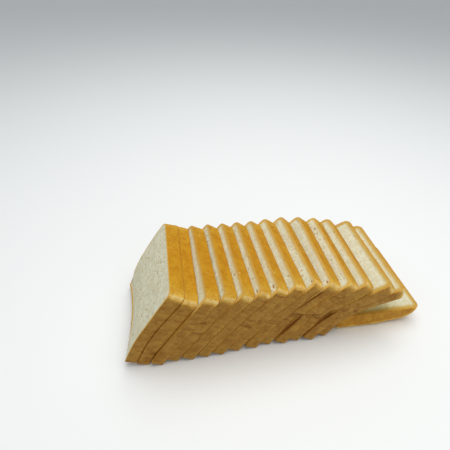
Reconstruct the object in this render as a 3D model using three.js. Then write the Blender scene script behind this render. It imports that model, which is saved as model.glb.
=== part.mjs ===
// Tin loaf, sliced and fanned out. Fourteen slices lean one on the next, the last of them on
// the loaf's end piece, which lies flat with its cut face up.
// Millimetres. +Z up, +X along the row towards the end piece, Y across the loaf.
import * as THREE from 'three';

// The loaf
const WIDTH = 105;              // across, side crust to side crust
const HEIGHT = 100;             // bottom crust to top crust
const SLICE = 11.7;             // thickness of one slice
const TOP_RADIUS = 7;           // the two shoulders, rounded by the tin's lid
const FOOT_RADIUS = 1.5;        // the two bottom corners
const HOLLOW = 3;               // rise of the bottom crust half way across
const HOLLOW_REACH = 40;        // height over which that rise fades out

// How the slices stand. Leans are degrees from upright, one value per slice, left to right.
const FOOT_LEAN = [23.5, 23.5, 32.1, 33.5, 32.6, 32.6, 32.6, 31.3, 27.1, 29.2, 27.8, 29.4, 29.9, 33.5];
const TOP_LEAN = [37.9, 37.9, 34.7, 36.9, 38, 39.1, 40, 41.4, 43.8, 44.9, 48.5, 54, 61.7, 72.6];
const BEND_FROM = 0.07;         // where along the height the slump starts and ends
const BEND_TO = 0.71;
const GAP = 0.45;               // air between neighbours
const GIVE = 2;                 // how far a slice swells at most to touch its right neighbour
const SECOND_GIVE = 4;          // and the second one, which the first weighs down
const GIVE_FROM = 10;           // height where the swelling starts
const GIVE_REACH = 25;          // height over which it grows
const SIDE_SHIFT = [2.2, 1, -1.8, -0.5, -1.4, -1.3, -1.3, -0.1, 0, 1.5, -0.1, 0.6, -1.1, 1];
const SHORT = [0, 0, 0, 0, 0, 0, 0, 0, 0, 1, 2, 3, 0, 4];   // slices lower than HEIGHT, by how much
const NEAR_SHORT = 5;           // the first joint and the second slice are lower at the near side
const BREAK_AFTER = 9;          // the row turns a little after this slice
const BREAK_GAP = 2.4;          // extra room there, half way across
const BREAK_TURN = 2.3;         // degrees
const BOW = 5;                  // how far the first face is pressed in at its foot
const BOW_FACES = 9;            // faces over which that fades out
const BOW_REACH = 75;           // height over which it fades out
const FAR_PRESS = 5;            // and how far its far lower corner is
const SPREAD_FROM = 45;         // the first two left faces change from foot to top above here
const FLARE = [[[0, 4.8], [0, 1.8]], [[0, 0.3], [0, 0]]];   // they widen: near side, far side
const SAG = [[[0, 0], [4, 3.2]], [[0, 0], [0, 2.4]]];     // and they hang lower

// The end piece
const END_THICKNESS = 22;
const END_HEIGHT = 91;          // the loaf is a little smaller at its end
const END_WIDTH = 102;          // and narrower
const END_RIM = 5;              // rounding of its lower edge
const END_TOP_RIM = 34;         // length of the rounding under its top crust
const END_TOP_RISE = 21;        // height of that rounding
const END_SHIFT = 4.5;          // it lies this far back in the row

// Colours
const BREAD = 0xe3c290;
const CRUST = 0xc98f4a;

// Mesh density
const COLUMNS = 6;
const SIDE_STEPS = 8;
const FOOT_STEPS = 3;
const SHOULDER_STEPS = 4;
const RIM_STEPS = 5;
const MARCH = 1;                // step for following a slumped slice upwards

const rad = (degrees) => degrees * Math.PI / 180;
const clamp01 = (v) => Math.min(1, Math.max(0, v));
const smooth = (v) => v * v * (3 - 2 * v);

// Heights and half widths of the rows of a slice, from its foot to its top crust.
function rows() {
  const list = [];
  for (let k = 0; k < FOOT_STEPS; k++) {
    const a = rad(90 * k / FOOT_STEPS);
    list.push([FOOT_RADIUS * (1 - Math.cos(a)), WIDTH / 2 - FOOT_RADIUS * (1 - Math.sin(a))]);
  }
  const straight = HEIGHT - FOOT_RADIUS - TOP_RADIUS;
  for (let k = 0; k < SIDE_STEPS; k++) {
    list.push([FOOT_RADIUS + straight * k / SIDE_STEPS, WIDTH / 2]);
  }
  for (let k = 0; k <= SHOULDER_STEPS; k++) {
    const a = rad(90 * k / SHOULDER_STEPS);
    list.push([HEIGHT - TOP_RADIUS * (1 - Math.sin(a)), WIDTH / 2 - TOP_RADIUS * (1 - Math.cos(a))]);
  }
  return list;
}

// The slumped line that a slice's right face follows, from its foot at (0, 0) upwards.
function slump(index) {
  const line = [{ h: 0, x: 0, z: 0, lean: rad(FOOT_LEAN[index]) }];
  for (let h = MARCH; h <= HEIGHT; h += MARCH) {
    const part = smooth(clamp01((h / HEIGHT - BEND_FROM) / (BEND_TO - BEND_FROM)));
    const lean = rad(THREE.MathUtils.lerp(FOOT_LEAN[index], TOP_LEAN[index], part));
    const last = line[line.length - 1];
    line.push({ h, lean, x: last.x + MARCH * Math.sin(lean), z: last.z + MARCH * Math.cos(lean) });
  }
  return line;
}

function along(line, key, value, wanted) {
  let k = 1;
  while (k < line.length - 1 && line[k][key] < value) k++;
  const t = clamp01((value - line[k - 1][key]) / (line[k][key] - line[k - 1][key]));
  return THREE.MathUtils.lerp(line[k - 1][wanted], line[k][wanted], t);
}

// A face moved out from the slumped line by the slice's thickness.
const leftFace = (line, shift, lift = 0) => line.map((p) => ({
  h: p.h, x: p.x + shift - SLICE * Math.cos(p.lean), z: p.z + lift + SLICE * Math.sin(p.lean),
}));

// Slide each slice up to its right neighbour. The last one leans on the end piece's upper edge,
// and the first sticks flat to the second, off the ground.
function standSlices() {
  const count = FOOT_LEAN.length;
  const lines = FOOT_LEAN.map((_, index) => slump(index));
  const feet = new Array(count).fill(0);
  const lifts = new Array(count).fill(0);
  for (let i = count - 1; i >= 0; i--) {
    const room = GAP / Math.cos(rad(FOOT_LEAN[i]));
    if (i === count - 1) {
      feet[i] = -along(lines[i], 'z', END_THICKNESS, 'x') - room;
    } else if (i === 0) {
      feet[i] = feet[1] - (SLICE + GAP) * Math.cos(rad(FOOT_LEAN[0]));
      lifts[i] = (SLICE + GAP) * Math.sin(rad(FOOT_LEAN[0]));
    } else {
      const face = leftFace(lines[i + 1], feet[i + 1]);
      const top = Math.min(face[face.length - 1].z, lines[i][lines[i].length - 1].z);
      let clear = Infinity;
      for (let z = face[0].z; z <= top; z += MARCH) {
        clear = Math.min(clear, along(face, 'z', z, 'x') - along(lines[i], 'z', z, 'x'));
      }
      feet[i] = clear - room - (i + 1 === BREAK_AFTER ? BREAK_GAP : 0);
    }
  }
  return lines.map((line, i) => ({
    line, foot: feet[i], lift: lifts[i], left: leftFace(line, feet[i], lifts[i]),
  }));
}

// How far the bread is pressed along X at a point of the face with this number (0 is the first).
function press(face, y, z) {
  const fade = clamp01(1 - face / BOW_FACES);
  const low = clamp01(1 - z / BOW_REACH);
  return fade * (BOW * low ** 2 * (1 - (2 * y / WIDTH) ** 2) + FAR_PRESS * low * (y / WIDTH + 0.5));
}

// A size given as [foot, top] for the near and the far side, at a place across and a height.
function between([near, far], side, h) {
  const up = smooth(clamp01((h - SPREAD_FROM) / (HEIGHT - SPREAD_FROM)));
  const over = clamp01(side / WIDTH + 0.5);
  return THREE.MathUtils.lerp(
    THREE.MathUtils.lerp(near[0], near[1], up), THREE.MathUtils.lerp(far[0], far[1], up), over);
}

// A point of a slice's left face: h up the slice, at this place across the row.
function onLeft(places, index, side, h) {
  const { line, foot, lift } = places[index];
  const lean = along(line, 'h', h, 'lean');
  return {
    x: foot + along(line, 'h', h, 'x') - SLICE * Math.cos(lean)
      - (index < FLARE.length ? between(FLARE[index], side, h) : 0),
    z: lift + along(line, 'h', h, 'z') + SLICE * Math.sin(lean)
      - (index < SAG.length ? between(SAG[index], side, h) : 0),
  };
}

// And of its right face, which swells to touch the right neighbour. The first slice sticks to it.
function onRight(places, index, side, h) {
  const { line, foot, lift } = places[index];
  const room = GAP / Math.cos(rad(FOOT_LEAN[index]));
  if (index === 0) {
    const { x, z } = onLeft(places, 1, side, h);
    return { x: x - room, z };
  }
  const x = foot + along(line, 'h', h, 'x');
  const z = lift + along(line, 'h', h, 'z');
  if (index + 1 === BREAK_AFTER || index === places.length - 1) return { x, z };
  const { left } = places[index + 1];
  const space = along(left, 'z', Math.max(z, left[0].z), 'x') - room - x;
  const give = index === 1 ? SECOND_GIVE : GIVE;
  return { x: x + Math.min(space, give * clamp01((z - GIVE_FROM) / GIVE_REACH)), z };
}

// How much lower than HEIGHT a face of a slice is, at this place across the row.
function shorter(index, isLeft, side) {
  const droops = index === 1 || (index === 0 && !isLeft);
  return SHORT[index] + (droops ? NEAR_SHORT * clamp01(0.5 - side / WIDTH) : 0);
}

// Moves every vertex of a geometry to the place that the function gives for it.
function reshape(geometry, place) {
  const position = geometry.attributes.position;
  for (let i = 0; i < position.count; i++) {
    position.setXYZ(i, ...place(position.getX(i), position.getY(i), position.getZ(i)));
  }
  geometry.computeVertexNormals();
  return geometry;
}

// One slice: a box whose rows take the loaf's outline and whose two faces follow the row.
// Its own origin is at the foot of its right face.
function sliceGeometry(index, places) {
  const { lift, foot } = places[index];
  const levels = rows();
  const last = levels.length - 1;
  const flat = WIDTH / 2 - FOOT_RADIUS;
  const block = new THREE.BoxGeometry(SLICE, WIDTH, HEIGHT, 1, COLUMNS, last);
  return reshape(block, (thick, across, up) => {
    const [height, half] = levels[Math.round((up / HEIGHT + 0.5) * last)];
    const y = 2 * half * across / WIDTH;
    const hollow = HOLLOW * clamp01(1 - height / HOLLOW_REACH) ** 2 * clamp01(1 - (y / flat) ** 2);
    const side = y + SIDE_SHIFT[index];
    const isLeft = thick < 0;
    const h = (height + hollow) * (1 - shorter(index, isLeft, side) / HEIGHT);
    const { x, z } = (isLeft ? onLeft : onRight)(places, index, side, h);
    return [x - foot + press(isLeft ? index : index + 1, side, z), y, z - lift];
  });
}

// The end piece: the loaf's outline run up in rings from a smaller flat bottom. The rounded rim
// is longest under the top crust. Its own origin is at the foot of its left side.
function endGeometry() {
  const outline = new THREE.Shape();
  const side = END_WIDTH / 2;
  const quarter = Math.PI / 2;
  outline.absarc(END_HEIGHT - TOP_RADIUS, side - TOP_RADIUS, TOP_RADIUS, 0, quarter);
  outline.absarc(FOOT_RADIUS, side - FOOT_RADIUS, FOOT_RADIUS, quarter, 2 * quarter);
  outline.absarc(FOOT_RADIUS, FOOT_RADIUS - side, FOOT_RADIUS, 2 * quarter, 3 * quarter);
  outline.absarc(END_HEIGHT - TOP_RADIUS, TOP_RADIUS - side, TOP_RADIUS, 3 * quarter, 4 * quarter);
  outline.closePath();
  const rings = RIM_STEPS + 1;
  const block = new THREE.ExtrudeGeometry(outline,
    { depth: rings, steps: rings, bevelEnabled: false, curveSegments: SHOULDER_STEPS });
  return reshape(block, (x, y, ring) => {
    const a = quarter * Math.min(ring, RIM_STEPS) / RIM_STEPS;
    const rise = THREE.MathUtils.lerp(END_RIM, END_TOP_RISE, smooth(clamp01(2 * x / END_HEIGHT - 1)));
    const flatX = END_RIM + x * (END_HEIGHT - END_RIM - END_TOP_RIM) / END_HEIGHT;
    const flatY = y * (1 - 2 * END_RIM / END_WIDTH);
    return [
      THREE.MathUtils.lerp(flatX, x, Math.sin(a)),
      THREE.MathUtils.lerp(flatY, y, Math.sin(a)),
      ring > RIM_STEPS ? END_THICKNESS : rise * (1 - Math.cos(a)),
    ];
  });
}

// The row as it lies: each slice is turned and set down on its foot.
const row = new THREE.Group();
function add(name, geometry, color, [x, y, z], turn) {
  const mesh = new THREE.Mesh(geometry, new THREE.MeshStandardMaterial({
    color, roughness: 0.85, metalness: 0 }));
  mesh.name = name;
  mesh.position.set(x, y, z);
  mesh.rotation.z = -rad(turn);
  row.add(mesh);
}
const places = standSlices();
places.forEach(({ foot, lift }, index) => {
  add(`slice_${String(index + 1).padStart(2, '0')}`, sliceGeometry(index, places), BREAD,
    [foot, SIDE_SHIFT[index], lift], index < BREAK_AFTER ? 0 : BREAK_TURN);
});
add('end_piece', endGeometry(), CRUST, [0, END_SHIFT, 0], BREAK_TURN);

// The origin is on the ground, under the middle of the row.
const loaf = new THREE.Group();
loaf.name = 'tin_loaf';
loaf.add(row);
const box = new THREE.Box3().setFromObject(loaf, true);
const middle = box.getCenter(new THREE.Vector3());
row.position.set(-middle.x, -middle.y, -box.min.z);

export default loaf;
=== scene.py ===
# %% [markdown]
# # A sliced tin loaf, laid out in a fan
# This loaf is baked in a square tin with a lid. The tin makes five flat, browned sides, and the
# dough only just reaches the lid, so the two upper edges stay round and pale. Fourteen slices
# are cut off and lean one on the next. The thick end piece lies flat at the right, cut face up.
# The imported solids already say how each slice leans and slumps, so this lesson repeats their
# driving sizes and builds a finer slice in the place of each one.
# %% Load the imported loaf
import math
import time
import bmesh
import bpy
from mathutils import Matrix, Vector, noise


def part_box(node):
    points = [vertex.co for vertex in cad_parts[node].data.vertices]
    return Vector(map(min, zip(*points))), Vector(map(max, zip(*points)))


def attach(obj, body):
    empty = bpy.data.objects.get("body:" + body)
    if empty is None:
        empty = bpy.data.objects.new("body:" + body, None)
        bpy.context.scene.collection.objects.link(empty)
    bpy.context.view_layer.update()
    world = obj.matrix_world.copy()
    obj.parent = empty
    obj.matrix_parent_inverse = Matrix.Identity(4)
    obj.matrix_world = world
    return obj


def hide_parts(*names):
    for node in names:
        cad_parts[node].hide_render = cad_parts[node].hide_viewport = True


started = time.time()
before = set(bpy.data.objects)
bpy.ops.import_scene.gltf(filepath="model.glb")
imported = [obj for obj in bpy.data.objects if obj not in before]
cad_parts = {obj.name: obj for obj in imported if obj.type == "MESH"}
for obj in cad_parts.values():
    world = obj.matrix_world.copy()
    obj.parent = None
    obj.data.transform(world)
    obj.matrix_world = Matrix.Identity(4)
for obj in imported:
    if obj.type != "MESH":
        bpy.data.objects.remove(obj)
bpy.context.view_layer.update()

# %% [markdown]
# ## The sizes of the loaf
# Everything is in metres here. A slice is a board 105 mm across, 100 mm high and 11.7 mm thick.
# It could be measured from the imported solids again, but the same few numbers that drive the
# solids are easier to read, and they keep both models in step.
# %% Sizes of a slice
WIDTH, HEIGHT, SLICE = 0.105, 0.100, 0.0117
TOP_RADIUS, FOOT_RADIUS = 0.007, 0.0015
# The foot is hollow in its middle, by this much, and the hollow fades over this height.
HOLLOW, HOLLOW_REACH = 0.003, 0.040
# The air between two slices.
GAP = 0.00045
# The side lines of a slice have one point for each step of its height.
STEP = 0.001
print("slice:", WIDTH, "x", HEIGHT, "x", SLICE)

# %% Sizes of the row
MM = 0.001
# How far each slice leans from upright at its foot and at its top, in degrees, and the shares of
# the height between which it bends.
FOOT_LEAN = [23.5, 23.5, 32.1, 33.5, 32.6, 32.6, 32.6, 31.3, 27.1, 29.2, 27.8, 29.4, 29.9, 33.5]
TOP_LEAN = [37.9, 37.9, 34.7, 36.9, 38, 39.1, 40, 41.4, 43.8, 44.9, 48.5, 54, 61.7, 72.6]
BEND_FROM, BEND_TO = 0.07, 0.71
# How far a right face may swell to touch its neighbour, and the heights over which it starts.
GIVE, SECOND_GIVE, GIVE_FROM, GIVE_REACH = 2 * MM, 4 * MM, 10 * MM, 25 * MM
# How far each slice is pushed away from the viewer, and how much lower than HEIGHT it is.
SIDE_SHIFT = [shift * MM for shift in
              (2.2, 1, -1.8, -0.5, -1.4, -1.3, -1.3, -0.1, 0, 1.5, -0.1, 0.6, -1.1, 1)]
SHORT = [less * MM for less in (0, 0, 0, 0, 0, 0, 0, 0, 0, 1, 2, 3, 0, 4)]
# After this many slices the row has a wider gap, and the rest of it is turned, in degrees.
BREAK_AFTER, BREAK_GAP, BREAK_TURN = 9, 2.4 * MM, 2.3
print("slices in the row:", len(FOOT_LEAN))

# %% How the first faces are pressed, widened and hung
# The feet of the first faces are pressed in, the middle by BOW and the far side by FAR_PRESS.
BOW, BOW_FACES, BOW_REACH, FAR_PRESS = 5 * MM, 9, 75 * MM, 5 * MM
# The near side of the second slice droops, and so does the right face of the first.
NEAR_SHORT = 5 * MM
# The first two left faces spread outwards by FLARE and hang by SAG above this height. Each row
# holds (foot, top) of the near side and of the far side.
SPREAD_FROM = 45 * MM
FLARE = [[(0, 4.8 * MM), (0, 1.8 * MM)], [(0, 0.3 * MM), (0, 0)]]
SAG = [[(0, 0), (4 * MM, 3.2 * MM)], [(0, 0), (0, 2.4 * MM)]]
print("first face: pressed in", BOW, "and widened", FLARE[0][0][1])

# %% Sizes of the end piece
END_THICKNESS, END_HEIGHT, END_WIDTH = 22 * MM, 91 * MM, 102 * MM
# Its lower edge is rounded by END_RIM, but under the top crust over a longer and higher curve.
END_RIM, END_TOP_RIM, END_TOP_RISE = 5 * MM, 34 * MM, 21 * MM
END_SHIFT = 4.5 * MM
print("end piece:", END_WIDTH, "x", END_HEIGHT, "x", END_THICKNESS)


# %% [markdown]
# ## How the slices lean
# A fresh slice is soft. Its foot stands steeper than its top, because it sags over the slice
# that it leans on. One side line per slice describes that: the lean grows smoothly from the
# foot value to the top value. A lattice or a curve modifier could bend a flat board like this
# too, but a short function gives the same bend as the solids have, to a fraction of a
# millimetre.
# %% The line of a slumped slice
def clamp01(v):
    return min(1.0, max(0.0, v))


def ease(v):
    v = clamp01(v)
    return v * v * (3 - 2 * v)


def slump(index):
    """Points (x, z, lean) up the right face of a slice, one for each STEP of its height."""
    line = [(0.0, 0.0, math.radians(FOOT_LEAN[index]))]
    for k in range(1, round(HEIGHT / STEP) + 1):
        part = ease((k * STEP / HEIGHT - BEND_FROM) / (BEND_TO - BEND_FROM))
        lean = math.radians(FOOT_LEAN[index] + part * (TOP_LEAN[index] - FOOT_LEAN[index]))
        x, z, _ = line[-1]
        line.append((x + STEP * math.sin(lean), z + STEP * math.cos(lean), lean))
    return line


lines = [slump(index) for index in range(len(FOOT_LEAN))]
print("top of the first line (mm):", [round(v * 1000, 1) for v in lines[0][-1][:2]])


# %% [markdown]
# ## How the slices stand in the row
# The last slice leans on the end piece, the one before it leans on the last slice, and so on. A
# rigid body simulation could let them fall against each other, but it would end a little
# differently each time. So the row is worked out from right to left: each slice moves towards
# its neighbour until their faces are one gap apart. Soft bread fills the wedge that is left
# above, so each right face may then swell by a few millimetres.
# %% Set every slice against its neighbour
def x_at(points, z):
    """Where a rising line of (x, z, ...) points reaches the height z."""
    for low, high in zip(points, points[1:]):
        if high[1] >= z:
            break
    share = clamp01((z - low[1]) / (high[1] - low[1]))
    return low[0] + share * (high[0] - low[0])


def stand_slices():
    """Foot position and lift of every slice, worked out from the end piece leftwards."""
    count = len(lines)
    feet, lifts = [0.0] * count, [0.0] * count
    for i in reversed(range(count)):
        lean = math.radians(FOOT_LEAN[i])
        room = GAP / math.cos(lean)
        if i == count - 1:
            feet[i] = -x_at(lines[i], END_THICKNESS) - room
        elif i == 0:
            feet[i] = feet[1] - (SLICE + GAP) * math.cos(lean)
            lifts[i] = (SLICE + GAP) * math.sin(lean)
        else:
            left = [(x + feet[i + 1] - SLICE * math.cos(a), z + SLICE * math.sin(a))
                    for x, z, a in lines[i + 1]]
            top = min(left[-1][1], lines[i][-1][1])
            heights = [left[0][1] + k * STEP for k in range(int((top - left[0][1]) / STEP) + 1)]
            clear = min(x_at(left, z) - x_at(lines[i], z) for z in heights)
            feet[i] = clear - room - (BREAK_GAP if i + 1 == BREAK_AFTER else 0)
    return feet, lifts


feet, lifts = stand_slices()
print("feet (mm):", [round(f * 1000, 1) for f in feet])

# %% The two faces of every slice where it stands
def face_lines():
    """Points (x, z) up the left and right face of every slice. Right faces swell to touch."""
    left = [[(feet[i] + x - SLICE * math.cos(a), lifts[i] + z + SLICE * math.sin(a))
             for x, z, a in line] for i, line in enumerate(lines)]
    right = []
    for i, line in enumerate(lines):
        room = GAP / math.cos(math.radians(FOOT_LEAN[i]))
        points = [(feet[i] + x, lifts[i] + z) for x, z, _ in line]
        if i + 1 not in (BREAK_AFTER, len(lines)):
            beside = left[i + 1]
            give = SECOND_GIVE if i == 1 else GIVE
            points = [(x + min(x_at(beside, max(z, beside[0][1])) - room - x,
                               give * clamp01((z - GIVE_FROM) / GIVE_REACH)), z) for x, z in points]
        right.append(points)
    return left, right


left_lines, right_lines = face_lines()
print("top of the last face (mm):", [round(v * 1000, 1) for v in left_lines[-1][-1]])


# %% A point of a face
def at(points, h):
    """The place on a face line at the height h of the flat slice."""
    # It stops just short of the last point, so that there is always a next one.
    steps = min(max(h / STEP, 0.0), len(points) - 1.001)
    k = int(steps)
    return [a + (steps - k) * (b - a) for a, b in zip(points[k], points[k + 1])]


def spread(sizes, side, h):
    """A size given as (foot, top) on the near and the far side, at a place across and a height."""
    (near_foot, near_top), (far_foot, far_top) = sizes
    up = ease((h - SPREAD_FROM) / (HEIGHT - SPREAD_FROM))
    near = near_foot + up * (near_top - near_foot)
    far = far_foot + up * (far_top - far_foot)
    return near + clamp01(side / WIDTH + 0.5) * (far - near)


def on_left(index, side, h):
    """The place (x, z) of a point of a left face, side metres away from the middle of the row."""
    x, z = at(left_lines[index], h)
    if index < len(FLARE):
        x -= spread(FLARE[index], side, h)
        z -= spread(SAG[index], side, h)
    return x, z


def on_right(index, side, h):
    """The same for a right face. That of the first slice follows the second one's left face."""
    if index > 0:
        return at(right_lines[index], h)
    x, z = on_left(1, side, h)
    return x - GAP / math.cos(math.radians(FOOT_LEAN[0])), z


def press(face, side, z):
    """How far the bread is pressed in at this point of a face. Face 0 is the first one."""
    fade = clamp01(1 - face / BOW_FACES)
    low = clamp01(1 - z / BOW_REACH)
    return fade * (BOW * low ** 2 * (1 - (2 * side / WIDTH) ** 2)
                   + FAR_PRESS * low * (side / WIDTH + 0.5))


print("first face at the top (mm):", [round(v * 1000, 1) for v in on_left(0, 0.0, HEIGHT)])

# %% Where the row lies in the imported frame
row_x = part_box("end_piece")[0].x + (END_WIDTH / 2 - FOOT_RADIUS) * math.sin(math.radians(BREAK_TURN))
row_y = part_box("slice_03")[0].y + WIDTH / 2 - SIDE_SHIFT[2]
print("row moved by (mm):", round(row_x * 1000, 2), round(row_y * 1000, 2))


# %% [markdown]
# ## A flat board of bread
# Before it slumps, every slice is the same flat board with the outline of the tin. One face is
# scaled to size, its corners are bevelled to the tin's radii, and the face is extruded to the
# slice's thickness. A fine bevel round both cut faces rounds the edge where the knife went
# through the crust. Then bisect planes cut the board into small cells, so it can bend and take
# pores. A subdivided cube would need less cutting, but it has no round corners to start from.
# %% Build a board with operators
# How far the edge of a cut is rounded, and the steps of the tin's corners and of this rounding.
CUT_EDGE, CORNER_STEPS, EDGE_STEPS = 0.0005, 7, 3
# Points this near to a plane lie in it, and points this near to each other become one.
TINY, NEAR_ENOUGH = 1e-6, 2e-5


def all_of(bm):
    return bm.verts[:] + bm.edges[:] + bm.faces[:]


def board(width, height, thickness, cell, layers):
    """A flat board in the YZ plane, from x = 0 back to x = -thickness, cut into cells."""
    bm = bmesh.new()
    bmesh.ops.create_grid(bm, x_segments=1, y_segments=1, size=0.5)
    upright = Matrix(((0, 0, 1, 0), (width, 0, 0, 0), (0, height, 0, height / 2), (0, 0, 0, 1)))
    bmesh.ops.transform(bm, matrix=upright, verts=bm.verts)
    for radius, is_top in ((TOP_RADIUS, True), (FOOT_RADIUS, False)):
        corners = [v for v in bm.verts if abs(v.co.z - (height if is_top else 0)) < TINY]
        bmesh.ops.bevel(bm, geom=corners, offset=radius, offset_type="OFFSET",
                        segments=CORNER_STEPS, profile=0.5, affect="VERTICES", material=-1)
    grown = bmesh.ops.extrude_face_region(bm, geom=bm.faces[:])["geom"]
    back = [g for g in grown if isinstance(g, bmesh.types.BMVert)]
    bmesh.ops.translate(bm, vec=(-thickness, 0, 0), verts=back)
    rims = [e for e in bm.edges if abs(e.verts[0].co.x - e.verts[1].co.x) < TINY]
    bmesh.ops.bevel(bm, geom=rims, offset=CUT_EDGE, offset_type="OFFSET",
                    segments=EDGE_STEPS, profile=0.5, affect="EDGES", material=-1)
    rows, columns = round(height / cell), round(width / cell)
    planes = [((0, 0, height * k / rows), (0, 0, 1)) for k in range(1, rows)]
    planes += [((0, width * (k / columns - 0.5), 0), (0, 1, 0)) for k in range(1, columns)]
    planes += [((-thickness * k / layers, 0, 0), (1, 0, 0)) for k in range(1, layers)]
    for point, normal in planes:
        bmesh.ops.bisect_plane(bm, geom=all_of(bm), dist=TINY, plane_co=point, plane_no=normal)
    bmesh.ops.remove_doubles(bm, verts=bm.verts, dist=NEAR_ENOUGH)
    bmesh.ops.recalc_face_normals(bm, faces=bm.faces)
    return bm


CELL = 1.25 * MM
SLICE_LAYERS, END_LAYERS = 9, 18
flat_slice = board(WIDTH, HEIGHT, SLICE, CELL, SLICE_LAYERS)
print("flat slice:", len(flat_slice.verts), "points,", len(flat_slice.faces), "faces")


# %% [markdown]
# ## What a point of the loaf is made of
# The look of bread depends on how deep a point lies under the crust, and on where it lay in the
# tin. The top, under the lid, is golden. The two rounded upper edges never touched the tin and
# are pale. The sides and the foot are a duller brown. Under the crust lies a honey-coloured
# layer. It is thin at the first slice and thickest at the last ones, where heat also came in
# through the end of the loaf. These numbers are worked out from the flat outline and kept on
# every point, so the finish can follow the bend of the slice. An image wrapped round each slice
# could do the same, but it would need a seam, and it would blur on the narrow crust.
# %% Depth under the crust
def crust_depth(y, h, width=WIDTH, height=HEIGHT):
    """How far a point of the flat outline lies under the crust."""
    radius = TOP_RADIUS if h > height / 2 else FOOT_RADIUS
    side = abs(y) - (width / 2 - radius)
    rise = abs(h - height / 2) - (height / 2 - radius)
    outside = math.hypot(max(side, 0), max(rise, 0)) + min(max(side, rise), 0)
    return max(0.0, radius - outside)


# How thick the baked layer of each slice is, and last that of the end piece.
BAKE = [0.38, 1, 1, 1, 1, 1, 1, 1, 1, 0.9, 0.85, 1.0, 1.2, 1.3, 1.2]


def baked_depth(index, y, h, width=WIDTH, height=HEIGHT):
    """The depth again, counted in layers that are as thick as this slice is baked."""
    return crust_depth(y, h, width, height) / BAKE[index]


print("2 mm under the top:", round(baked_depth(4, 0.0, HEIGHT - 2 * MM), 4))


# %% The way round the crust
# How far the pale stretch of each slice's rounded edge has moved towards its top crust.
PALE_SHIFT = [shift * MM for shift in (1, 0, -0.5, -1, -1, 0.5, 2, 2, 3, 1, 0.5, 1, 1, 1)]


def around(y, h, width=WIDTH, height=HEIGHT):
    """Distance along the crust from the middle of the rounded edge, above 0 on the top crust."""
    over = abs(y) - (width / 2 - TOP_RADIUS)
    up = h - (height - TOP_RADIUS)
    half = math.pi / 4 * TOP_RADIUS
    if over > 0 and up > 0:
        return (math.atan2(up, over) - math.pi / 4) * TOP_RADIUS
    if height - h < width / 2 - abs(y):
        return half - over
    return up - half


print("side (mm):", round(1000 * around(WIDTH / 2, 0.05)), "top:", round(1000 * around(0, HEIGHT)))


# %% [markdown]
# ## Pores and wrinkles
# Crumb is a foam, and a knife cuts through its bubbles. Worley cells make such bubbles: one cell
# in three holds a ball of its own size, and where the cut face passes through a ball there is a
# dimple. Most are fine, and a few holes are large. The crust has fine waves instead, and where
# a slumped slice is squeezed its side crust folds into short creases. An image could carry all
# this, but real dimples also show from the side and catch the light.
# %% Pores of the crumb
# Size of a cell, radius of a middling bubble as a share of it, and depth of a dimple.
PORE_SIZES = [(1.7 * MM, 0.42, 0.30 * MM), (6.5 * MM, 0.15, 0.8 * MM)]
# Bubbles are a little higher than wide. Each cell draws a number from -1 to 1 and holds a bubble
# where that is above HOLDS_ONE. The radius grows with it, from PORE_LEAST by PORE_MORE.
PORE_STRETCH, HOLDS_ONE, PORE_LEAST, PORE_MORE = 1.25, 0.35, 0.55, 0.75


def pore(spot):
    """How deep a cut bubble is at this spot of the loaf, in metres."""
    deepest = 0.0
    for cell, share, depth in PORE_SIZES:
        scaled = Vector((spot.x / cell, spot.y / cell, spot.z / (cell * PORE_STRETCH)))
        distances, centres = noise.voronoi(scaled)
        chance = noise.cell(centres[0] * 3.7 + Vector((5.1, 2.3, 9.7)))
        radius = share * (PORE_LEAST + PORE_MORE * chance) if chance > HOLDS_ONE else 0.0
        if distances[0] < radius:
            deepest = max(deepest, depth * math.sqrt(1 - (distances[0] / radius) ** 2))
    return deepest


print("a pore (mm):", round(1000 * max(pore(Vector((0, y / 4000, 0.05))) for y in range(99)), 2))

# %% The few large holes
# Slice, counted from 0, then place across, height, half width and half height in millimetres.
LARGE_HOLES = [(5, -46.5, 93, 2.1, 1.1), (6, -43.5, 93.5, 2.8, 1.2), (8, -46, 95, 1.4, 0.9),
               (9, -46.5, 94, 2.0, 1.2), (10, 35, 93, 1.6, 1.5), (13, -18, 96, 0.9, 1.0),
               (3, 21, 88, 0.9, 0.7), (12, 8, 70, 0.9, 0.8), (0, 6, 40, 0.9, 0.9)]
HOLE_DEPTH = 1.0 * MM


def large_hole(index, spot):
    """How deep one of these holes is at this spot of a slice."""
    for owner, y, h, half_width, half_height in LARGE_HOLES:
        if owner == index:
            across = (spot.y - y * MM) / (half_width * MM)
            up = (spot.z - h * MM) / (half_height * MM)
            if across * across + up * up < 1:
                return HOLE_DEPTH * math.sqrt(1 - across * across - up * up)
    return 0.0


print("large holes:", len(LARGE_HOLES))


# %% Waves and creases of the crust
def waves(spot, size, seed=0.0):
    """Smooth noise from about -1 to 1, with waves of this size."""
    return noise.noise(Vector((spot.x / size + seed, spot.y / size, spot.z / size)))


# Slice, counted from 0, then height of the fold in millimetres, and its strength.
DEEP_FOLDS = [(0, 50, 1.0), (0, 26, 0.8), (0, 68, 0.4), (1, 44, 0.3), (4, 40, 0.5)]
# A deep fold ends this far above and below its line, and the line sways by this much.
DEEP_FOLD_WIDTH, DEEP_FOLD_SWAY = 1.2 * MM, 1.5 * MM
# Small folds are long and low, and come in patches that are this long and high.
FOLD_LENGTH, FOLD_HEIGHT = 30 * MM, 7.5 * MM
PATCH_LENGTH, PATCH_HEIGHT = 22 * MM, 28 * MM


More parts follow.
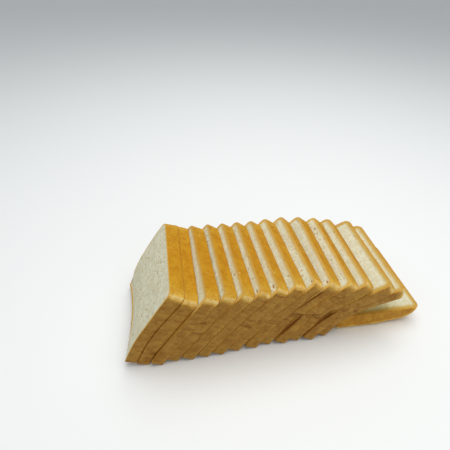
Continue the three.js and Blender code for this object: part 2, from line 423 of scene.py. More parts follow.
def crease(index, spot):
    """Short folds across the side crust: a few deep ones, and more where two slow patterns meet."""
    for owner, h, strength in DEEP_FOLDS:
        sway = DEEP_FOLD_SWAY * waves(spot, 6 * MM, 2.0)
        from_middle = abs(spot.z - h * MM - sway) / DEEP_FOLD_WIDTH
        if owner == index and spot.y < 0 and from_middle < 1:
            return strength * (1 - from_middle)
    here = Vector((spot.x / FOLD_LENGTH, spot.y / 0.2 + 3.0, spot.z / FOLD_HEIGHT))
    fold = 1 - clamp01(abs(noise.noise(here)) / 0.10)
    around_here = Vector((spot.x / PATCH_LENGTH, spot.y, spot.z / PATCH_HEIGHT + 7.0))
    return fold * ease((noise.noise(around_here) - 0.02) / 0.3)


print("waves at one spot:", round(waves(Vector((0.01, 0.02, 0.03)), 0.02), 3))

# %% [markdown]
# ## Open joints and a fold on the near side
# Where the row turns, its slices were squeezed. Some joints gape on the near side, and the sides
# of three slices buckle over one fold. Sculpting could give both, but here they are two short
# rules for how far the side crust moves. The dents also go on the points as a number, so that
# the finish can darken them with painted shade, the shade that falls into a crease or a gaping joint.
# %% Joints that gape a little
# Slice left of the joint, counted from 0, then from and to which level above the ground in
# millimetres, and how many DENTs deep it opens. A joint widens slowly from below and closes fast
# at its upper end. Where it is fully open, it reaches JOINT_REACH into each slice.
OPEN_JOINTS = [(8, 48, 79, 2.4), (9, 4, 47, 1.7), (10, 30, 47, 1.2), (11, 17, 47, 1.6)]
JOINT_REACH, JOINT_STEEP = 2.8 * MM, 1.5
OPENS_OVER, CLOSES_OVER = 0.7, 0.2


def open_joint(index, spot):
    """How far the near side opens here beside a joint, on the slices left and right of it."""
    widest = 0.0
    for owner, low, high, strength in OPEN_JOINTS:
        away = abs(spot.x - (owner + 1) * SLICE)
        if index not in (owner, owner + 1) or spot.y > 0 or away > JOINT_REACH:
            continue
        face_line = right_lines[owner] if index == owner else left_lines[index]
        up = (at(face_line, spot.z)[1] / MM - low) / (high - low)
        opened = ease(up / OPENS_OVER) * ease((1 - up) / CLOSES_OVER)
        if away < JOINT_REACH * opened:
            beside = 1 - away / (JOINT_REACH * opened)
            widest = max(widest, strength * opened * clamp01(JOINT_STEEP * beside))
    return widest


def folded(index, spot):
    """How deep the side crust is dented here by a crease or an open joint."""
    return max(crease(index, spot), open_joint(index, spot))


print("widest open joint:", max(strength for _, _, _, strength in OPEN_JOINTS))

# %% The fold of slices 10 to 12
# The side bulges out above the fold and lies in below it, each by so much and up to this reach,
# with a short step between the two.
FOLD_OUT, FOLD_OUT_REACH = 1.1 * MM, 22 * MM
FOLD_IN, FOLD_IN_REACH = 0.9 * MM, 25 * MM
FOLD_STEP = 2.5 * MM
# Places along the row are counted in slices. The fold is lowest at FOLD_MIDDLE.
FOLD_FROM, FOLD_MIDDLE, FOLD_TO = 8.9, 10.8, 12.3
FOLD_GROWS, FOLD_FADES = 0.5, 0.6
FOLD_LEVEL, FOLD_CURVE = 44.3 * MM, 1.6 * MM
# The crease, a line of painted shade under the bulge: how strong it is, how far below the fold it
# lies, and how far it reaches.
FOLD_SHADE, FOLD_SHADE_BELOW, FOLD_SHADE_WIDTH = 0.6, 1 * MM, 1.6 * MM


def fold_over(along, z):
    """How far the near side bulges out above the fold, or lies in below it, and the painted shade of
    its crease.
    """
    above = z - FOLD_LEVEL - FOLD_CURVE * (along - FOLD_MIDDLE) ** 2
    inside = ease((along - FOLD_FROM) / FOLD_GROWS) * ease((FOLD_TO - along) / FOLD_FADES)
    over = ease(above / FOLD_STEP + 0.5)
    bulge = FOLD_OUT * over * (1 - ease(above / FOLD_OUT_REACH))
    hollow = FOLD_IN * (1 - over) * (1 - ease(-above / FOLD_IN_REACH))
    line = clamp01(1 - abs(above + FOLD_SHADE_BELOW) / FOLD_SHADE_WIDTH)
    return inside * (bulge - hollow), FOLD_SHADE * inside * line


print("fold over (mm):", [round(1000 * fold_over(10.8, h * MM)[0], 2) for h in (30, 43, 46, 60)])


# %% [markdown]
# ## Slump a board into its place in the row
# Each slice is a copy of the flat board. Only the part of its left face that shows gets finer
# cells. Then every point is carried to its place on the slumped line, and gets its pores or
# waves along its own normal. A displacement modifier could push the points as well, but it reads
# an image or a plain noise, and here crust and crumb on one slice need different relief.
# %% Carry a flat point to the row
FLAT_FOOT = WIDTH / 2 - FOOT_RADIUS


def shorter(index, is_left, side):
    """How much lower than HEIGHT a face of a slice is, at this place across the row."""
    droops = index == 1 or (index == 0 and not is_left)
    return SHORT[index] + (NEAR_SHORT * clamp01(0.5 - side / WIDTH) if droops else 0)


def in_row(index, back, y, h):
    """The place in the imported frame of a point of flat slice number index."""
    hollow = HOLLOW * clamp01(1 - h / HOLLOW_REACH) ** 2 * clamp01(1 - (y / FLAT_FOOT) ** 2)
    side = y + SIDE_SHIFT[index]
    left_h, right_h = [(h + hollow) * (1 - shorter(index, is_left, side) / HEIGHT)
                       for is_left in (True, False)]
    left_x, left_z = on_left(index, side, left_h)
    right_x, right_z = on_right(index, side, right_h)
    left_x += press(index, side, left_z)
    right_x += press(index + 1, side, right_z)
    share = back / SLICE
    x = right_x + share * (left_x - right_x) - feet[index]
    z = right_z + share * (left_z - right_z)
    turn = math.radians(0 if index < BREAK_AFTER else BREAK_TURN)
    return Vector((x * math.cos(turn) + y * math.sin(turn) + feet[index] + row_x,
                   y * math.cos(turn) - x * math.sin(turn) + SIDE_SHIFT[index] + row_y, z))


print("a corner (mm):", [round(v * 1000, 1) for v in in_row(0, SLICE, -WIDTH / 2, 0.0)])

# %% Which part of each left face shows
# Above this height a left face stands clear of the slice before it. The first one shows whole.
SHOWN_FROM = [0.0, 0.094, 0.078, 0.076, 0.076, 0.076, 0.076, 0.074, 0.068, 0.060, 0.058, 0.056,
              0.042, 0.050]
# The border of a hidden face takes the crust's colour this far in, as painted shade in the joint,
# so no pale crumb shows there. That sets in over the second distance below what shows. At some
# slices the very edge keeps a honey-coloured rim of RIM_DEPTH.
JOINT_SHADE_DEPTH, JOINT_SHADE_FADE = 5 * MM, 8 * MM
RIM_DEPTH = [depth * MM for depth in (0, 0, 0.5, 0.9, 0.9, 0.9, 0.9, 0.9, 0.8, 0, 0.6, 0, 0, 0)]
# The foot of the first face is crust up to this height.
FOOT_EDGE = 1.7 * MM
# Points nearer to a cut than ON_CUT lie on it. Beyond FACE_SHARE of the thickness they count as
# the left face, and shown cells beyond FINE_SHARE are halved. Pores start SHOWN_MARGIN lower.
ON_CUT, FACE_SHARE, FINE_SHARE, SHOWN_MARGIN = 0.4 * MM, 0.9, 0.93, 4 * MM
# Points this near to a slice's side belong to its side crust.
SIDE_BAND = 2 * MM
print("faces shown from (mm):", [round(h / MM) for h in SHOWN_FROM])


# %% Relief of crumb and crust
# Pores start this deep under the crust, and are full after a little more.
FIRM_CRUST, PORES_GROW = 1.2 * MM, 2 * MM
# The crumb face lies this far in front of the solid's, so that its waves hardly fall behind it.
FULLER = 0.05 * MM
# Height of the waves of crumb and crust, of the crust's broad swell, and depth of a full crease.
CRUMB_WAVE, CRUST_WAVE, CRUST_SWELL, DENT = 0.06 * MM, 0.12 * MM, 0.22 * MM, 0.45 * MM
# The first face has dried back behind its lower crust, over these heights and from the near
# corner on.
DRIED, DRIED_LOW, DRIED_HIGH = 1.7 * MM, (0.8 * MM, 2.2 * MM), (4 * MM, 26 * MM)
DRIED_FROM, DRIED_GROWS = -42 * MM, 45 * MM


def on_side_crust(spot):
    return abs(spot.y) > WIDTH / 2 - SIDE_BAND


def crumb_and_crust(index, spot, depth, is_cut, shows):
    """How far a point moves out along its normal, and how deep in a pore it lies."""
    if is_cut and depth > FIRM_CRUST:
        fine = pore(spot) * ease((depth - FIRM_CRUST) / PORES_GROW) if shows else 0.0
        hole = max(fine, large_hole(index, spot)) if shows else 0.0
        return FULLER + CRUMB_WAVE * waves(spot, 4 * MM) - hole, hole
    out = CRUST_WAVE * waves(spot, 3.5 * MM) + CRUST_SWELL * waves(spot, 17 * MM, 4.0)
    return out - (DENT * folded(index, spot) if on_side_crust(spot) else 0.0), 0.0


def dried_back(y, h):
    """How far the crumb of the first face has dried back behind its lower crust."""
    above_crust = ease((h - DRIED_LOW[0]) / (DRIED_LOW[1] - DRIED_LOW[0]))
    below_middle = 1 - ease((h - DRIED_HIGH[0]) / (DRIED_HIGH[1] - DRIED_HIGH[0]))
    return DRIED * above_crust * below_middle * ease((y - DRIED_FROM) / DRIED_GROWS)


print("dried back in the middle (mm):", round(dried_back(0.0, 3 * MM) / MM, 2))

# %% What is kept on the points of a slice
# Depth under the crust, way round the crust, how deep in a pore in millimetres, place across the
# slice's thickness, extra warmth, how late in the row, and how deep in a fold.
LAYERS = ("depth", "around", "hole", "across", "warm", "late", "fold")
# Slices after LATE_FROM, counted from 0, are late in the row: the next one by half, then fully.
LATE_FROM, LATE_OVER = 10, 2
# The place across is 1 at a right face. On a left face it falls from LEFT_ACROSS at the crust to
# 0, where the side tint paints shade in the joint. The first slice keeps it above FIRST_ACROSS,
# so its left edge, which lies in no joint, gets no dark line of painted shade.
LEFT_ACROSS, LEFT_BAND, FIRST_ACROSS = 0.16, 3 * MM, 0.3


def keep_layers(bm):
    """New values on every point, all 0, and its place in the uncut loaf."""
    keep = {name: bm.verts.layers.float.new(name) for name in LAYERS}
    return keep, bm.verts.layers.float_vector.new("loaf")


def slice_values(index, spot, back):
    """What a point of a flat slice is like. back is how far it lies behind the right face."""
    depth = baked_depth(index, spot.y, spot.z)
    way_round = around(spot.y, spot.z) - PALE_SHIFT[index]
    across = max(1 - back / SLICE, FIRST_ACROSS if index == 0 else 0.0)
    if index and back > SLICE * FACE_SHARE:
        # Below what shows, the border is painted shade: its depth is pulled towards the crust's
        # colour.
        joint_shade = 1 - ease((spot.z - SHOWN_FROM[index] + JOINT_SHADE_FADE) / JOINT_SHADE_FADE)
        rim = min(depth, RIM_DEPTH[index]) * (1 - clamp01(open_joint(index, spot)))
        depth = max(rim, depth - JOINT_SHADE_DEPTH * joint_shade)
        across = LEFT_ACROSS * clamp01(1 - crust_depth(spot.y, spot.z) / LEFT_BAND)
    elif back > SLICE * FACE_SHARE and spot.z < FOOT_EDGE:
        depth, way_round = 0.0, 0.0
    late = ease((index - LATE_FROM) / LATE_OVER)
    return {"depth": depth, "around": way_round, "across": across, "late": late}


print("kept on each point:", ", ".join(LAYERS))


# %% Make the slices
def refine(bm, is_shown):
    """Halve the cells of the faces that show, by the middle of each face."""
    fine = [e for e in bm.edges if any(is_shown(f.calc_center_median()) for f in e.link_faces)]
    bmesh.ops.subdivide_edges(bm, edges=fine, cuts=1, use_grid_fill=True)


def make_slice(index):
    bm = flat_slice.copy()
    shown = SHOWN_FROM[index]
    refine(bm, lambda middle: middle.x < -SLICE * FINE_SHARE and middle.z > shown)
    keep, loaf = keep_layers(bm)
    for v in bm.verts:
        y, h, back = v.co.y, v.co.z, -v.co.x
        v[loaf] = Vector(((index + 1) * SLICE - back, y, h))
        for name, value in slice_values(index, v[loaf], back).items():
            v[keep[name]] = value
        v.co = in_row(index, back, y, h)
        if index == 0 and back > SLICE * FACE_SHARE:
            v.co.x += dried_back(y, h)
    bm.normal_update()
    for v in bm.verts:
        spot = v[loaf]
        cut = spot.x - index * SLICE
        shows = cut < ON_CUT and spot.z > shown - SHOWN_MARGIN
        is_cut = min(cut, SLICE - cut) < ON_CUT
        out, hole = crumb_and_crust(index, spot, v[keep["depth"]], is_cut, shows)
        # How deep a point lies in a crease or open joint; the finish paints shade there by this
        # number.
        fold = folded(index, spot) if on_side_crust(spot) else 0.0
        if spot.y < -WIDTH / 2 + SIDE_BAND / 2:
            # Under the bulge the fold number also takes a line of painted shade.
            bulge, line = fold_over(spot.x / SLICE, v.co.z)
            out, fold = out + bulge, max(line, fold)
        v[keep["hole"]], v[keep["fold"]] = hole / MM, fold
        v.co += v.normal * out
    return to_object(bm, f"bread_slice_{index + 1:02d}")


def to_object(bm, name):
    mesh = bpy.data.meshes.new(name)
    bm.to_mesh(mesh)
    bm.free()
    mesh.shade_smooth()
    piece = bpy.data.objects.new(name, mesh)
    bpy.context.scene.collection.objects.link(piece)
    return piece


slices = [make_slice(index) for index in range(len(lines))]
print("slices:", len(slices), "faces:", sum(len(s.data.polygons) for s in slices),
      "seconds:", round(time.time() - started, 1))


# %% [markdown]
# ## The end piece
# The end piece is the closed end of the loaf. It is cut from the same board, but thicker, and
# laid on its back. Its lower edge is rounded where the dough met the corner of the tin, most of
# all under the top crust, so its right end stands clear of the table. The board's points are
# drawn in towards a smaller flat base to round it. A wide bevel could round the edge too, but
# its radius would have to change along the edge.
# %% Round the end piece and lay it down
# Cells this near to its cut face are halved.
END_REFINED = 0.7 * MM
# Below the cut face its crust turns to the gold of the rounded edges over this depth.
PALE_BELOW = 20 * MM
# Its cut face is warmer up to the first height, and no longer at the second: partly its honey bake,
# partly painted warm light bounced from the crust into the shade under the last slice.
WARM_UP_TO, WARM_ENDS = 50 * MM, 78 * MM


def end_place(back, y, h):
    """A flat point of the end piece, laid with its cut face up. back is 0 at the base."""
    rise = END_RIM + (END_TOP_RISE - END_RIM) * ease(2 * h / END_HEIGHT - 1)
    share = 1 - clamp01(back / rise)
    draw = math.sqrt(max(0.0, 1 - share * share))
    base_h = END_RIM + h * (END_HEIGHT - END_RIM - END_TOP_RIM) / END_HEIGHT
    base_y = y * (1 - 2 * END_RIM / END_WIDTH)
    return Vector((base_h + (h - base_h) * draw, base_y + (y - base_y) * draw, back))


def make_end_piece():
    bm = board(END_WIDTH, END_HEIGHT, END_THICKNESS, CELL, END_LAYERS)
    refine(bm, lambda middle: middle.x > -END_REFINED)
    keep, loaf = keep_layers(bm)
    turn = math.radians(BREAK_TURN)
    index = len(lines)
    for v in bm.verts:
        y, h, under = v.co.y, v.co.z, -v.co.x
        v[loaf] = Vector((index * SLICE + under, y, h))
        depth = baked_depth(index, y, h, END_WIDTH, END_HEIGHT)
        v[keep["depth"]] = min(depth, END_THICKNESS - under)
        v[keep["around"]] = around(y, h, END_WIDTH, END_HEIGHT) * (1 - ease(under / PALE_BELOW))
        v[keep["across"]] = 0.5
        v[keep["late"]] = 1.0
        is_crumb = under < ON_CUT and v[keep["depth"]] > 1 * MM
        cooler = ease((h - WARM_UP_TO) / (WARM_ENDS - WARM_UP_TO))
        v[keep["warm"]] = 1 - cooler if is_crumb else 1.0
        p = end_place(END_THICKNESS - under, y, h)
        v.co = Vector((p.x * math.cos(turn) + p.y * math.sin(turn) + row_x,
                       p.y * math.cos(turn) - p.x * math.sin(turn) + END_SHIFT + row_y, p.z))
    bmesh.ops.recalc_face_normals(bm, faces=bm.faces)
    bm.normal_update()
    for v in bm.verts:
        spot = v[loaf]
        is_cut = spot.x - index * SLICE < ON_CUT
        out, hole = crumb_and_crust(index, spot, v[keep["depth"]], is_cut, True)
        v[keep["hole"]] = hole / MM
        v.co += v.normal * out
        v.co.z = max(v.co.z, 0.0)
    return to_object(bm, "bread_end_piece")


end_piece = make_end_piece()
print("end piece faces:", len(end_piece.data.polygons))


# %% [markdown]
# ## The finish of bread
# One finish serves all pieces, because crumb turns into crust without a seam. It mixes by the
# numbers kept on the points: the way round the crust picks its colour, and the depth fades it
# through a honey-coloured layer into the cream crumb. Fine bubbles below the size of the mesh
# are Worley cells in the colour and the bump.
# %% A short way to add nodes
def srgb(r, g, b):
    """A colour given in display values from 0 to 255, as the linear colour nodes want."""
    return tuple((v / 255 / 12.92 if v < 11 else ((v / 255 + 0.055) / 1.055) ** 2.4)
                 for v in (r, g, b)) + (1.0,)


class Finish:
    """A material whose nodes are added one line at a time."""

    def __init__(self, name):
        self.material = bpy.data.materials.new(name)
        self.material.use_nodes = True
        self.tree = self.material.node_tree
        self.shader = self.tree.nodes["Principled BSDF"]

    def add(self, kind, settings=(), **inputs):
        """A node of this kind. An input goes by its name, or as _0, _1 and so on by its place."""
        node = self.tree.nodes.new("ShaderNode" + kind)
        for key, value in dict(settings).items():
            setattr(node, key, value)
        for key, value in inputs.items():
            socket = node.inputs[int(key[1:])] if key[1:].isdigit() else node.inputs[key]
            self.join(value, socket)
        return node

    def join(self, value, socket):
        if isinstance(value, bpy.types.NodeSocket):
            self.tree.links.new(value, socket)
        else:
            socket.default_value = value

    def kept(self, name):
        """A node that reads a value kept on the points."""
        return self.add("Attribute", {"attribute_name": name, "attribute_type": "GEOMETRY"})

    def math(self, operation, a, b=0.0, c=0.0):
        return self.add("Math", {"operation": operation}, _0=a, _1=b, _2=c).outputs[0]

    def fade(self, value, low, high):
        """0 at low, 1 at high, smooth in between; low may be the larger one."""
        node = self.add("MapRange", {"interpolation_type": "SMOOTHSTEP"}, Value=value)
        node.inputs["From Min"].default_value = low
        node.inputs["From Max"].default_value = high
        return node.outputs["Result"]

    def mix(self, share, a, b, blend="MIX"):
        """Colour a where the share is 0 and b, or a blended with b, where it is 1."""
        node = self.add("Mix", {"data_type": "RGBA", "blend_type": blend})
        for value, socket in ((share, 0), (a, 6), (b, 7)):
            self.join(value, node.inputs[socket])
        return node.outputs[2]

    def ramp(self, value, stops):
        """The colour at this value between the stops, each given as (place, colour)."""
        node = self.add("ValToRGB", Fac=value)
        band = node.color_ramp.elements
        while len(band) < len(stops):
            band.new(0.5)
        for stop, (place, colour) in zip(band, stops):
            stop.position, stop.color = place, colour
        return node.outputs["Color"]


print("white in linear values:", srgb(255, 255, 255))

# %% Noise in the loaf's own coordinates
bread = Finish("bread_crumb_and_crust")
loaf = bread.kept("loaf").outputs["Vector"]
depth, place, hole, across, warm, late, fold = (bread.kept(name).outputs["Fac"] for name in LAYERS)


def speckle(size, detail=3.0, rough=0.55, offset=(0, 0, 0), squeeze=(1, 1, 1)):
    """Noise with spots of about this size in metres."""
    spot = bread.add("Mapping", Vector=loaf, Location=offset, Scale=squeeze).outputs[0]
    node = bread.add("TexNoise", Vector=spot, Scale=1 / size, Detail=detail, Roughness=rough)
    return node.outputs["Fac"]


def vary(value, noise_value, amount):
    """The value with noise of this amplitude around it."""
    return bread.math("MULTIPLY_ADD", bread.math("SUBTRACT", noise_value, 0.5), amount, value)


broad = speckle(30 * MM)
mottle = speckle(6 * MM, 4.0, 0.6, (1, 0, 0))
grain = speckle(1.1 * MM, 2.0, 0.6, (2, 0, 0))
wrinkle = speckle(5 * MM, 3.0, 0.5, (4, 0, 0), (0.4, 0.5, 1.7))
print("noise set")

# %% [markdown]
# ## The colours of the crust
# Going up and over the crust, the dull brown of the side turns pale gold at the rounded edge and
# deep gold on top. A colour ramp over the kept distance gives that, and noise lets its borders
# wander. Vertex paint would do as well, but a ramp can be tuned without touching the mesh. More
# ramps darken the crust towards the knife's cuts. On the side this is painted shade, dark at both
# cuts where the joints between slices lie in shade, with painted highlights along the edges. On top
# the crust is paler right at its left cut and browner in worn patches at its right one.
# %% Crust colours
# Millimetres along the crust from the rounded edge, and the colour there. Below 0 is the side.
CRUST_FROM, CRUST_TO = -12, 30
CRUST_STOPS = [(-12, (178, 130, 53)), (-8, (186, 138, 58)), (-6, (197, 149, 62)), (-4, (216, 168, 78)),
               (-3, (226, 183, 98)), (-1, (232, 197, 120)), (0, (224, 178, 84)), (1, (213, 163, 58)),
               (4, (202, 152, 50)), (8, (198, 148, 40)), (13, (196, 142, 31)), (30, (193, 136, 25))]
roundabout = vary(vary(place, broad, 7 * MM), mottle, 3 * MM)
share = bread.math("MULTIPLY_ADD", roundabout, 1 / ((CRUST_TO - CRUST_FROM) * MM),
                   -CRUST_FROM / (CRUST_TO - CRUST_FROM))
crust = bread.ramp(share, [((at_mm - CRUST_FROM) / (CRUST_TO - CRUST_FROM), srgb(*colour))
                           for at_mm, colour in CRUST_STOPS])
WARM_CRUST, WORN_EDGE = (1.32, 1.25, 0.74, 1), (0.74, 0.60, 0.44, 1)
on_side = bread.fade(place, -2 * MM, -6 * MM)
on_top = bread.fade(place, 0, 4 * MM)
# These two tints go by the place across the slice, from its left cut at 0 to its right one at 1.
# The side tint is painted shade and painted highlight: darker at both cuts, lighter along the
# edges and just before the right cut.
painted_side_shade = bread.ramp(across, [(0.0, (0.84, 0.68, 0.50, 1)), (0.05, (0.92, 0.88, 0.80, 1)),
                                 (0.18, (0.88, 0.86, 0.83, 1)), (0.6, (0.90, 0.89, 0.87, 1)),
                                 (0.85, (1.00, 0.99, 0.96, 1)), (0.94, (0.96, 0.94, 0.89, 1)),
                                 (1.0, (0.80, 0.62, 0.44, 1))])
edge_wear = bread.fade(mottle, 0.50, 0.60)
worn = bread.mix(edge_wear, (1, 1, 1, 1), WORN_EDGE)
top_light = bread.ramp(across, [(0.02, (1.1, 1.14, 1.3, 1)), (0.08, (1, 1, 1, 1))])
top_light = bread.mix(bread.fade(across, 0.90, 0.98), top_light, worn)
crust = bread.mix(on_side, crust, bread.mix(1.0, crust, painted_side_shade, "MULTIPLY"))
crust = bread.mix(on_top, crust, bread.mix(1.0, crust, top_light, "MULTIPLY"))
crust = bread.mix(bread.math("MULTIPLY", warm, on_side), crust,
                  bread.mix(1.0, crust, WARM_CRUST, "MULTIPLY"))
print("crust colours set")

# %% Mottles and wrinkles of the crust, and painted shade in its folds
# Painted shade: the first colour darkens the side crust in creases, open joints and under the fold,
# the second is a painted shadow deep inside a gaping joint or crease.
CREASE_SHADE, OPEN_JOINT_SHADOW = (0.66, 0.52, 0.36, 1), srgb(112, 60, 14)
patch = speckle(11 * MM, 3.0, 0.55, (8, 0, 0))
tone = vary(vary(vary(0.5, mottle, 1.2), grain, 1.6), patch, 0.8)
side_tone = vary(vary(tone, patch, 0.5), wrinkle, 1.1)
tone_side = bread.ramp(side_tone, [(0.2, (0.84, 0.74, 0.58, 1)), (0.8, (1.16, 1.24, 1.36, 1))])
tone_top = bread.ramp(tone, [(0.2, (0.87, 0.76, 0.46, 1)), (0.8, (1.11, 1.22, 1.50, 1))])
crust = bread.mix(1.0, crust, bread.mix(on_side, tone_top, tone_side), "MULTIPLY")
crust = bread.mix(bread.math("MULTIPLY", fold, on_side), crust,
                  bread.mix(1.0, crust, CREASE_SHADE, "MULTIPLY"))
crust = bread.mix(bread.math("MULTIPLY", bread.fade(fold, 0.7, 1.9), on_side), crust, OPEN_JOINT_SHADOW)
print("crust mottled")

# %% Dark dots and pale flecks on the crust
DARK_DOT, SCORCH, FLOUR = srgb(140, 82, 30), srgb(150, 96, 38), srgb(244, 226, 176)


def dots_of(size, most, softness):
    """1 in round spots that each have their own size, 0 between them."""
    cells = bread.add("TexVoronoi", {"feature": "F1"}, Vector=loaf, Scale=1 / size)
    own = bread.add("SeparateColor", Color=cells.outputs["Color"]).outputs[0]
    reach = bread.math("DIVIDE", cells.outputs["Distance"], bread.math("MULTIPLY", own, most))
    return bread.fade(reach, 1.0, 1.0 - softness)


dots = bread.add("TexVoronoi", {"feature": "F1"}, Vector=loaf, Scale=1 / (7 * MM))
crust = bread.mix(bread.fade(dots.outputs["Distance"], 0.09, 0.05), crust, DARK_DOT)
far_end = bread.fade(bread.add("SeparateXYZ", Vector=loaf).outputs[1], 0.0, 50 * MM)
edges = bread.math("MAXIMUM", bread.fade(across, 0.80, 0.95), bread.fade(across, 0.15, 0.05))
scorched = bread.math("MULTIPLY", bread.math("MAXIMUM", edges, far_end), on_top)
scorched = bread.math("MULTIPLY", scorched, bread.fade(patch, 0.44, 0.58))
crust = bread.mix(bread.math("MULTIPLY", scorched, dots_of(2.8 * MM, 0.6, 0.5)), crust, SCORCH)
is_fleck = bread.math("MULTIPLY", dots_of(6 * MM, 0.13, 0.5), on_top)
crust = bread.mix(bread.math("MULTIPLY", is_fleck, 0.8), crust, FLOUR)
print("dots set")

# %% [markdown]
# ## The colours of the crumb
# Crumb is cream, with clouds, honey-coloured flecks, brown pores and nearly white foam. The pores'
# brown is painted shade inside the bubbles. Each is a mask from its own noise or Worley cells, and
# they are mixed in one after the other. One noise with a ramp would be shorter, but pores are round
# and foam isn't. Below the crust a ramp over the depth then leads from gold through honey to cream,
# later and browner at the last slices.
# %% Crumb colours
CREAM, DULL_CREAM, HONEY = srgb(234, 231, 206), srgb(223, 217, 188), srgb(218, 206, 160)
PORE_SHADE, FOAM, WARM_CRUMB_AND_BOUNCE = srgb(198, 174, 116), srgb(240, 240, 224), (1.12, 1.02, 0.80, 1)
pores = bread.math("MAXIMUM", bread.math("MULTIPLY", dots_of(1.8 * MM, 0.52, 0.6), 0.75),
                   dots_of(4.5 * MM, 0.36, 0.5))
cloud = speckle(9 * MM, 3.0, 0.6, (3, 0, 0))
cream = bread.mix(bread.fade(cloud, 0.36, 0.64), CREAM, DULL_CREAM)
honey = bread.fade(speckle(2.6 * MM, 3.0, 0.65, (6, 0, 0)), 0.48, 0.66)
cream = bread.mix(bread.math("MULTIPLY", honey, 0.75), cream, HONEY)
# Painted shade in the bubbles, weaker at the last slices.
shaded_pores = bread.math("MULTIPLY", pores, bread.math("MULTIPLY_ADD", late, -0.45, 0.9))
cream = bread.mix(shaded_pores, cream, PORE_SHADE)
light_foam = bread.fade(speckle(2.0 * MM, 2.0, 0.6, (9, 0, 0)), 0.54, 0.70)
cream = bread.mix(bread.math("MULTIPLY", light_foam, 0.6), cream, FOAM)
ROW_LENGTH = (len(lines) + 1) * SLICE
along_row = bread.math("DIVIDE", bread.add("SeparateXYZ", Vector=loaf).outputs[0], ROW_LENGTH)
row_tone = bread.ramp(along_row, [(0.06, (0.98, 0.98, 0.98, 1)), (0.09, (1.0, 1.05, 1.07, 1)),
                                  (0.5, (1.0, 1.05, 1.07, 1)), (0.62, (0.98, 1.0, 1.02, 1)),
                                  (0.8, (0.96, 0.97, 0.97, 1))])
cream = bread.mix(1.0, cream, row_tone, "MULTIPLY")
# On the end piece's cut face: partly honey bake, partly painted bounce light in the last slice's
# shade.
cream = bread.mix(warm, cream, bread.mix(1.0, cream, WARM_CRUMB_AND_BOUNCE, "MULTIPLY"))
print("crumb colours set")

# %% From crust to crumb
LAYER = 10 * MM
# Deep pores and holes turn brown by their depth: painted shade inside them.
HOLE_SHADE = srgb(188, 150, 90)
wander = vary(vary(depth, mottle, 2.2 * MM), broad, 1.6 * MM)
baked = bread.ramp(bread.math("DIVIDE", wander, LAYER),
                   [(0.0, srgb(216, 166, 70)), (0.1, srgb(218, 169, 76)), (0.2, srgb(219, 180, 94)),
                    (0.3, srgb(220, 188, 114)), (0.4, srgb(222, 198, 140)),
                    (0.5, srgb(225, 209, 168)), (0.6, srgb(228, 218, 186)),
                    (0.9, srgb(232, 228, 200))])
late_bake = bread.ramp(bread.math("DIVIDE", wander, LAYER),
                       [(0.0, srgb(200, 150, 62)), (0.1, srgb(200, 154, 68)),
                        (0.2, srgb(202, 162, 80)), (0.3, srgb(205, 173, 98)),
                        (0.4, srgb(209, 185, 124)), (0.5, srgb(213, 198, 153)),
                        (0.65, srgb(218, 208, 172)), (0.9, srgb(228, 224, 196))])
baked = bread.mix(late, baked, late_bake)
colour = bread.mix(bread.fade(wander, 3 * MM, 7 * MM), baked, cream)
colour = bread.mix(bread.fade(hole, 0.2, 0.8), colour, HOLE_SHADE)
skin = bread.fade(depth, 0.9 * MM, 0.1 * MM)
colour = bread.mix(skin, colour, crust)
bread.join(colour, bread.shader.inputs["Base Color"])
CRUMB_ROUGHNESS, CRUST_ROUGHNESS = 0.92, 0.62
rough = bread.math("MULTIPLY_ADD", skin, CRUST_ROUGHNESS - CRUMB_ROUGHNESS, CRUMB_ROUGHNESS)
bread.join(rough, bread.shader.inputs["Roughness"])
bread.shader.inputs["Specular IOR Level"].default_value = 0.12
bread.shader.inputs["Subsurface Weight"].default_value = 0.05
bread.shader.inputs["Subsurface Radius"].default_value = (2.2 * MM, 1.5 * MM, 0.8 * MM)
bread.shader.inputs["Subsurface Scale"].default_value = 1.0
print("crust fades into crumb")

# %% Bump of the finest bubbles and of the crust
BUMP_STRENGTH, BUMP_HEIGHT = 0.6, 0.4 * MM
crumb_bump = bread.math("MULTIPLY", pores, bread.math("SUBTRACT", 1.0, skin))
folds = bread.math("MULTIPLY", bread.math("MULTIPLY", wrinkle, on_side), 2.2)
relief = bread.math("MULTIPLY_ADD", crumb_bump, -1.0, bread.math("MULTIPLY_ADD", grain, 0.5, folds))
bump = bread.add("Bump", Height=relief, Strength=BUMP_STRENGTH, Distance=BUMP_HEIGHT)
bread.join(bump.outputs["Normal"], bread.shader.inputs["Normal"])
for piece in slices + [end_piece]:
    piece.data.materials.append(bread.material)
print("finish on", len(slices) + 1, "pieces")

# %% [markdown]
# ## Tie the pieces to the imported loaf
# Every slice stands for its own imported solid and rides on the one body of this object.
# %% Ride and replace
for index, piece in enumerate(slices):
    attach(piece, "root")
    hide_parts(f"slice_{index + 1:02d}")
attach(end_piece, "root")
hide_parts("end_piece")
print("pieces tied")

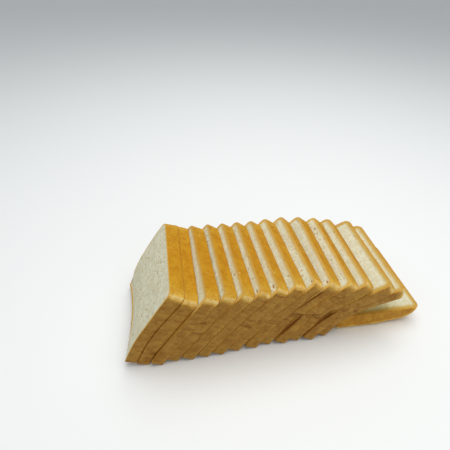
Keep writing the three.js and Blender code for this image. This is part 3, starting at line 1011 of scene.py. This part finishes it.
# %% [markdown]
# ## Floor, light and camera
# A plain pale floor carries the bread. A large soft lamp above and a little behind makes the
# top crusts bright and leaves the front side in soft shade. The pale room lifts that side, and so
# does the light that comes back from the floor. A second lamp in front would lift it too, but it
# would also flatten the steps between the slices. The camera looks down from the front left.
# %% The floor
FLOOR_HALF = 4.0
floor_mesh = bmesh.new()
bmesh.ops.create_grid(floor_mesh, x_segments=1, y_segments=1, size=FLOOR_HALF)
floor = to_object(floor_mesh, "floor")
paint = Finish("pale_floor")
paint.shader.inputs["Base Color"].default_value = srgb(248, 250, 250)
paint.shader.inputs["Roughness"].default_value = 0.6
floor.data.materials.append(paint.material)
print("floor laid")


# %% The lamp and the room
def lamp(name, place, aim, size, watts, tint):
    light = bpy.data.lights.new(name, "AREA")
    light.shape, light.size, light.energy, light.color = "SQUARE", size, watts, tint
    holder = bpy.data.objects.new(name, light)
    holder.location = place
    holder.rotation_euler = (Vector(aim) - Vector(place)).to_track_quat("-Z", "Y").to_euler()
    bpy.context.scene.collection.objects.link(holder)


LAMP_PLACE, LAMP_SIZE, LAMP_WATTS, LAMP_TINT = (0.10, 0.05, 1.1), 1.1, 10, (1.0, 0.99, 0.96)
ROOM_COLOUR, ROOM_STRENGTH = (0.93, 0.97, 1.0, 1), 0.42
lamp("lamp_above", LAMP_PLACE, (0.0, 0.0, 0.0), LAMP_SIZE, LAMP_WATTS, LAMP_TINT)
room = bpy.data.worlds.new("room")
room.use_nodes = True
room_light = room.node_tree.nodes["Background"]
room_light.inputs["Color"].default_value = ROOM_COLOUR
room_light.inputs["Strength"].default_value = ROOM_STRENGTH
bpy.context.scene.world = room
bpy.context.scene.view_settings.view_transform = "Standard"
print("lamp hung:", LAMP_WATTS, "watts")

# %% The camera
# Its place from the foot of the end piece's left edge, and its turn in degrees.
CAMERA_PLACE, CAMERA_TURN = (-0.17409, -0.25873, 0.33171), (51.7843, -1.3121, -11.2818)
FOCAL_LENGTH, SENSOR_WIDTH = 29.47, 36.0
lens = bpy.data.cameras.new("camera")
lens.lens, lens.sensor_width = FOCAL_LENGTH, SENSOR_WIDTH
lens.clip_start = 0.01
camera = bpy.data.objects.new("camera", lens)
camera.location = Vector((row_x, row_y, 0.0)) + Vector(CAMERA_PLACE)
camera.rotation_euler = [math.radians(a) for a in CAMERA_TURN]
bpy.context.scene.collection.objects.link(camera)
bpy.context.scene.camera = camera
print("camera set,", round(time.time() - started, 1), "seconds in all")
